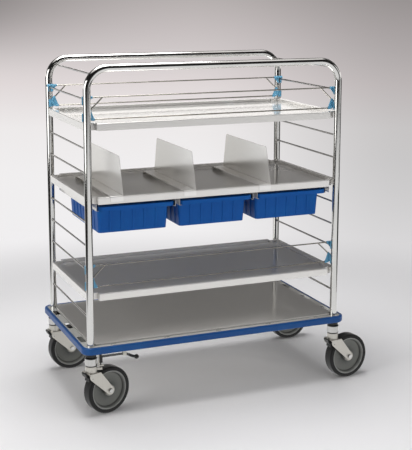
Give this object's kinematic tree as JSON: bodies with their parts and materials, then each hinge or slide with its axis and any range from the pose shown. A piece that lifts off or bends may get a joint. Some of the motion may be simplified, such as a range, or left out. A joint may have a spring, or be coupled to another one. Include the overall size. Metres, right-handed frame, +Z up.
{
  "type": "shelf cart",
  "caption": "Stainless steel shelf cart with tube hoops, rung sides, recessed shelves, tray dividers, slide-in bins, wire guards, a wrap-round bumper and braked swivel casters",
  "frame": {"origin": "the centre of the bottom deck's top face", "axes": "+X along the cart towards its right end as seen from the front, +Y from the front to the rear, +Z up"},
  "size_m": [1.3703, 0.6878, 1.4789],
  "materials": {
    "polished_tube": "polished stainless tube and rod",
    "stainless_sheet": "fine satin stainless sheet",
    "wire": "bright electropolished wire",
    "blue_plastic": "smooth blue plastic",
    "blue_bumper": "satin blue bumper strip",
    "tyre_rubber": "matt black solid rubber",
    "grey_hub": "grey moulded wheel centre",
    "caster_steel": "satin pressed steel",
    "black_pedal": "black coated steel",
    "black_plastic": "black moulded plastic",
    "black_steel": "black coated steel",
    "chrome_parts": "bright plated steel"
  },
  "bodies": {
    "frame": {"base_frame": "stainless_sheet", "bearing_cups": "chrome_parts", "bottom_deck": "stainless_sheet", "bumper": "blue_bumper", "bumper_screws": "chrome_parts", "caster_stems": "chrome_parts", "cross_members": "stainless_sheet", "end_bin_rails": "stainless_sheet", "front_hoop": "polished_tube", "left_rungs": "polished_tube", "lock_bracket": "caster_steel", "lock_guide": "caster_steel", "lower_front_guard": "wire", "lower_guard_clips": "blue_plastic", "lower_shelf": "stainless_sheet", "middle_bin_rails": "stainless_sheet", "rear_hoop": "polished_tube", "right_rungs": "polished_tube", "stem_adapters": "black_steel", "swivel_seals": "black_plastic", "top_front_guard": "wire", "top_rear_guard": "wire", "top_shelf": "stainless_sheet", "tray_shelf": "stainless_sheet", "upper_guard_clips": "blue_plastic"},
    "left_bin": {"left_bin": "blue_plastic"},
    "left_divider": {"left_divider": "stainless_sheet"},
    "middle_bin": {"middle_bin": "blue_plastic"},
    "middle_divider": {"middle_divider": "stainless_sheet"},
    "right_bin": {"right_bin": "blue_plastic"},
    "right_divider": {"right_divider": "stainless_sheet"},
    "front_left_fork": {"front_left_fork": "caster_steel", "front_left_axle": "chrome_parts", "front_left_pedal_pin": "chrome_parts"},
    "front_left_wheel": {"front_left_tyre": "tyre_rubber", "front_left_hub": "grey_hub"},
    "front_left_pedal": {"front_left_brake_pedal": "black_pedal"},
    "front_right_fork": {"front_right_fork": "caster_steel", "front_right_axle": "chrome_parts", "front_right_pedal_pin": "chrome_parts"},
    "front_right_wheel": {"front_right_tyre": "tyre_rubber", "front_right_hub": "grey_hub"},
    "front_right_pedal": {"front_right_brake_pedal": "black_pedal"},
    "rear_left_fork": {"rear_left_fork": "caster_steel", "rear_left_axle": "chrome_parts", "rear_left_pedal_pin": "chrome_parts"},
    "rear_left_wheel": {"rear_left_tyre": "tyre_rubber", "rear_left_hub": "grey_hub"},
    "rear_left_pedal": {"rear_left_brake_pedal": "black_pedal"},
    "rear_right_fork": {"rear_right_fork": "caster_steel", "rear_right_axle": "chrome_parts", "rear_right_pedal_pin": "chrome_parts"},
    "rear_right_wheel": {"rear_right_tyre": "tyre_rubber", "rear_right_hub": "grey_hub"},
    "rear_right_pedal": {"rear_right_brake_pedal": "black_pedal"},
    "lock_lever": {"lock_lever": "caster_steel", "lock_knob": "black_plastic"},
    "lock_bar": {"lock_bar": "black_steel"}
  },
  "joints": [
    {"name": "left_divider_slide", "type": "slide", "parent": "frame", "child": "left_divider", "axis": [1, 0, 0], "range_m": [-0.05, 0.1]},
    {"name": "middle_divider_slide", "type": "slide", "parent": "frame", "child": "middle_divider", "axis": [1, 0, 0], "range_m": [-0.1, 0.1]},
    {"name": "right_divider_slide", "type": "slide", "parent": "frame", "child": "right_divider", "axis": [1, 0, 0], "range_m": [-0.1, 0.28]},
    {"name": "left_bin_slide", "type": "slide", "parent": "frame", "child": "left_bin", "axis": [0, -1, 0], "range_m": [0, 0.3]},
    {"name": "middle_bin_slide", "type": "slide", "parent": "frame", "child": "middle_bin", "axis": [0, -1, 0], "range_m": [0, 0.3]},
    {"name": "right_bin_slide", "type": "slide", "parent": "frame", "child": "right_bin", "axis": [0, -1, 0], "range_m": [0, 0.3]},
    {"name": "front_left_swivel", "type": "hinge", "parent": "frame", "child": "front_left_fork", "pos_m": [-0.575, -0.3, 0], "axis": [0, 0, 1], "continuous": true},
    {"name": "front_left_wheel_spin", "type": "hinge", "parent": "front_left_fork", "child": "front_left_wheel", "pos_m": [-0.50194, -0.27905, -0.21047], "axis": [0.2756, -0.9613, 0], "continuous": true},
    {"name": "front_left_brake", "type": "hinge", "parent": "front_left_fork", "child": "front_left_pedal", "pos_m": [-0.58654, -0.30331, -0.13959], "axis": [0.2756, -0.9613, 0], "range_deg": [0, 12]},
    {"name": "front_right_swivel", "type": "hinge", "parent": "frame", "child": "front_right_fork", "pos_m": [0.575, -0.3, 0], "axis": [0, 0, 1], "continuous": true},
    {"name": "front_right_wheel_spin", "type": "hinge", "parent": "front_right_fork", "child": "front_right_wheel", "pos_m": [0.65043, -0.29074, -0.21047], "axis": [0.1219, -0.9925, 0], "continuous": true},
    {"name": "front_right_brake", "type": "hinge", "parent": "front_right_fork", "child": "front_right_pedal", "pos_m": [0.56309, -0.30146, -0.13959], "axis": [0.1219, -0.9925, 0], "range_deg": [0, 12]},
    {"name": "rear_left_swivel", "type": "hinge", "parent": "frame", "child": "rear_left_fork", "pos_m": [-0.575, 0.3, 0], "axis": [0, 0, 1], "continuous": true},
    {"name": "rear_left_wheel_spin", "type": "hinge", "parent": "rear_left_fork", "child": "rear_left_wheel", "pos_m": [-0.49929, 0.30662, -0.21047], "axis": [0.0872, -0.9962, 0], "continuous": true},
    {"name": "rear_left_brake", "type": "hinge", "parent": "rear_left_fork", "child": "rear_left_pedal", "pos_m": [-0.58695, 0.29895, -0.13959], "axis": [0.0872, -0.9962, 0], "range_deg": [0, 12]},
    {"name": "rear_right_swivel", "type": "hinge", "parent": "frame", "child": "rear_right_fork", "pos_m": [0.575, 0.3, 0], "axis": [0, 0, 1], "continuous": true},
    {"name": "rear_right_wheel_spin", "type": "hinge", "parent": "rear_right_fork", "child": "rear_right_wheel", "pos_m": [0.6509, 0.30398, -0.21047], "axis": [0.0523, -0.9986, 0], "continuous": true},
    {"name": "rear_right_brake", "type": "hinge", "parent": "rear_right_fork", "child": "rear_right_pedal", "pos_m": [0.56302, 0.29937, -0.13959], "axis": [0.0523, -0.9986, 0], "range_deg": [0, 12]},
    {"name": "lock_lever_pivot", "type": "hinge", "parent": "frame", "child": "lock_lever", "pos_m": [-0.435, -0.3201, -0.05], "axis": [0, -1, 0], "range_deg": [0, 5.5]},
    {"name": "lock_bar_slide", "type": "slide", "parent": "frame", "child": "lock_bar", "axis": [0, 0, -1], "range_m": [0, 0.01]}
  ],
  "couplings": [
    {"joint": "lock_bar_slide", "follows": "lock_lever_pivot", "m_per_rad": 0.104}
  ]
}
